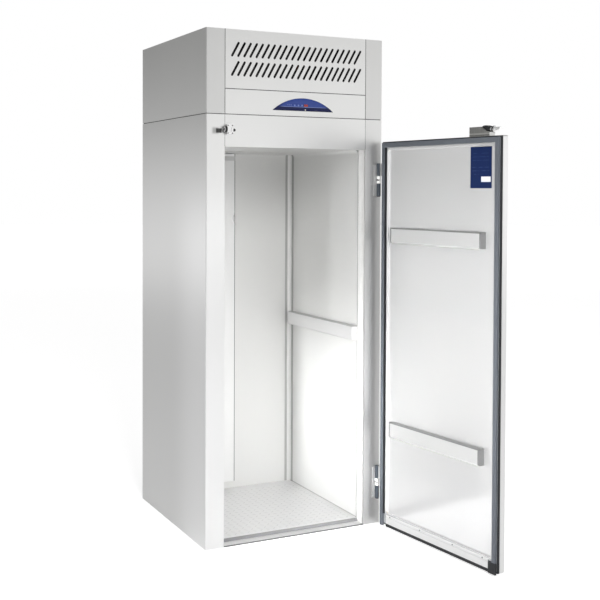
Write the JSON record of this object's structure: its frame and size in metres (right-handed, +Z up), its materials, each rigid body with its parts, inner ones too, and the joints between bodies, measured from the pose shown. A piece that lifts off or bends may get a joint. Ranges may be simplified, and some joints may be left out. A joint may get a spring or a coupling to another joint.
{
  "type": "roll-in refrigerator",
  "caption": "Tall roll-in refrigerator with a canopy unit on top, a cam-lift hinged door standing open, bumper rails inside and a level floor for a wheeled rack.",
  "frame": {"origin": "centre of the cabinet's base, on the ground, without the open door", "axes": "+Z up, -Y towards the front where the door is, +X to the right as seen from the front, where the hinges are"},
  "size_m": [0.9597, 1.6257, 2.2],
  "materials": {
    "outer_steel": "satin brushed stainless steel",
    "back_steel": "plain galvanised sheet",
    "liner_steel": "bright satin liner sheet",
    "foam": "rigid foam",
    "jamb_plastic": "white plastic strip",
    "rail_plastic": "dark plastic",
    "floor_core": "floor core",
    "tread_metal": "raised lozenges",
    "gasket_rubber": "blue-grey vinyl",
    "black_rubber": "matt black",
    "break_plastic": "black plastic",
    "card_plastic": "dark blue, unprinted",
    "hinge_steel": "dark plated steel",
    "nylon": "white nylon",
    "latch_metal": "satin zinc casting",
    "chrome": "polished",
    "black_plastic": "black",
    "lens_plastic": "blue lens",
    "display_plastic": "dark red window",
    "key_rubber": "pale blue keys",
    "fin_metal": "fins and tubes",
    "machine_black": "black enamel",
    "copper": "copper",
    "housing_plastic": "insulated slabs"
  },
  "bodies": {
    "cabinet": {"left_side_panel": "outer_steel", "right_side_panel": "outer_steel", "back_panel": "back_steel", "header_panel": "outer_steel", "roof_skin": "back_steel", "cabinet_foam": "foam", "roof_foam": "foam", "base_rails": "rail_plastic", "inner_liner": "liner_steel", "ceiling_liner": "liner_steel", "jamb_strips": "jamb_plastic", "floor_base": "floor_core", "tread_plate": "tread_metal", "sill_plate": "outer_steel", "rear_duct_panel": "liner_steel", "wall_bumper_rails": "liner_steel", "hinge_frame_leaves": "hinge_steel", "hinge_frame_cams": "nylon", "strike_block": "chrome", "strike_stop": "black_rubber", "canopy_seal": "black_rubber", "canopy_side_panels": "outer_steel", "canopy_back_panel": "back_steel", "canopy_top_panel": "back_steel", "louvre_panel": "outer_steel", "control_panel": "outer_steel", "controller_lens": "lens_plastic", "controller_case": "break_plastic", "display_window": "display_plastic", "unit_tray": "back_steel", "condenser_coil": "fin_metal", "condenser_shroud": "machine_black", "compressor": "machine_black", "pipework": "copper", "evaporator_housing": "housing_plastic", "evaporator_coil": "fin_metal", "evaporator_fan_plate": "back_steel"},
    "hinge_pins": {"hinge_pins": "chrome"},
    "door": {"door_skin": "outer_steel", "door_foam": "foam", "door_break": "break_plastic", "door_liner": "liner_steel", "door_gasket": "gasket_rubber", "door_bumpers": "liner_steel", "sweep_retainer": "liner_steel", "retainer_screws": "chrome", "door_sweep": "black_rubber", "blank_card": "card_plastic", "hinge_door_leaves": "hinge_steel", "hinge_door_cams": "nylon", "latch_body": "latch_metal", "latch_cap": "black_plastic"},
    "latch_lever": {"latch_lever": "chrome"},
    "strike_roller": {"strike_roller": "black_plastic"},
    "key_set": {"key_set": "key_rubber"},
    "key_up": {"key_up": "key_rubber"},
    "key_down": {"key_down": "key_rubber"},
    "condenser_fan": {"condenser_fan": "black_plastic"},
    "evaporator_fan": {"evaporator_fan": "black_plastic"}
  },
  "joints": [
    {"name": "door_swing", "type": "hinge", "parent": "cabinet", "child": "hinge_pins", "pos_m": [0.408, -0.426, 0.9], "axis": [0, 0, 1], "range_deg": [-96, 69]},
    {"name": "door_rise", "type": "slide", "parent": "hinge_pins", "child": "door", "axis": [0, 0, 1], "range_m": [-0.0053, 0.0039]},
    {"name": "latch_turn", "type": "hinge", "parent": "door", "child": "latch_lever", "pos_m": [0.50995, -1.14729, 1.76728], "axis": [-0.1045, 0.9945, 0], "range_deg": [0, 14], "stiffness_Nm_per_rad": 0.5, "springref_deg": -22.92},
    {"name": "roller_spin", "type": "hinge", "parent": "cabinet", "child": "strike_roller", "pos_m": [-0.3455, -0.431, 1.776], "axis": [1, 0, 0], "continuous": true},
    {"name": "key_set_press", "type": "slide", "parent": "cabinet", "child": "key_set", "axis": [0, 1, 0], "range_m": [0, 0.0006], "stiffness_N_per_m": 400, "springref_m": -0.002},
    {"name": "key_up_press", "type": "slide", "parent": "cabinet", "child": "key_up", "axis": [0, 1, 0], "range_m": [0, 0.0006], "stiffness_N_per_m": 400, "springref_m": -0.002},
    {"name": "key_down_press", "type": "slide", "parent": "cabinet", "child": "key_down", "axis": [0, 1, 0], "range_m": [0, 0.0006], "stiffness_N_per_m": 400, "springref_m": -0.002},
    {"name": "condenser_fan_spin", "type": "hinge", "parent": "cabinet", "child": "condenser_fan", "pos_m": [-0.163, -0.2597, 1.985], "axis": [0, 1, 0], "continuous": true},
    {"name": "evaporator_fan_spin", "type": "hinge", "parent": "cabinet", "child": "evaporator_fan", "pos_m": [-0.148, 0.305, 1.973], "axis": [0, 1, 0], "continuous": true}
  ],
  "couplings": [
    {"joint": "door_rise", "follows": "door_swing", "m_per_rad": 0.00315}
  ]
}
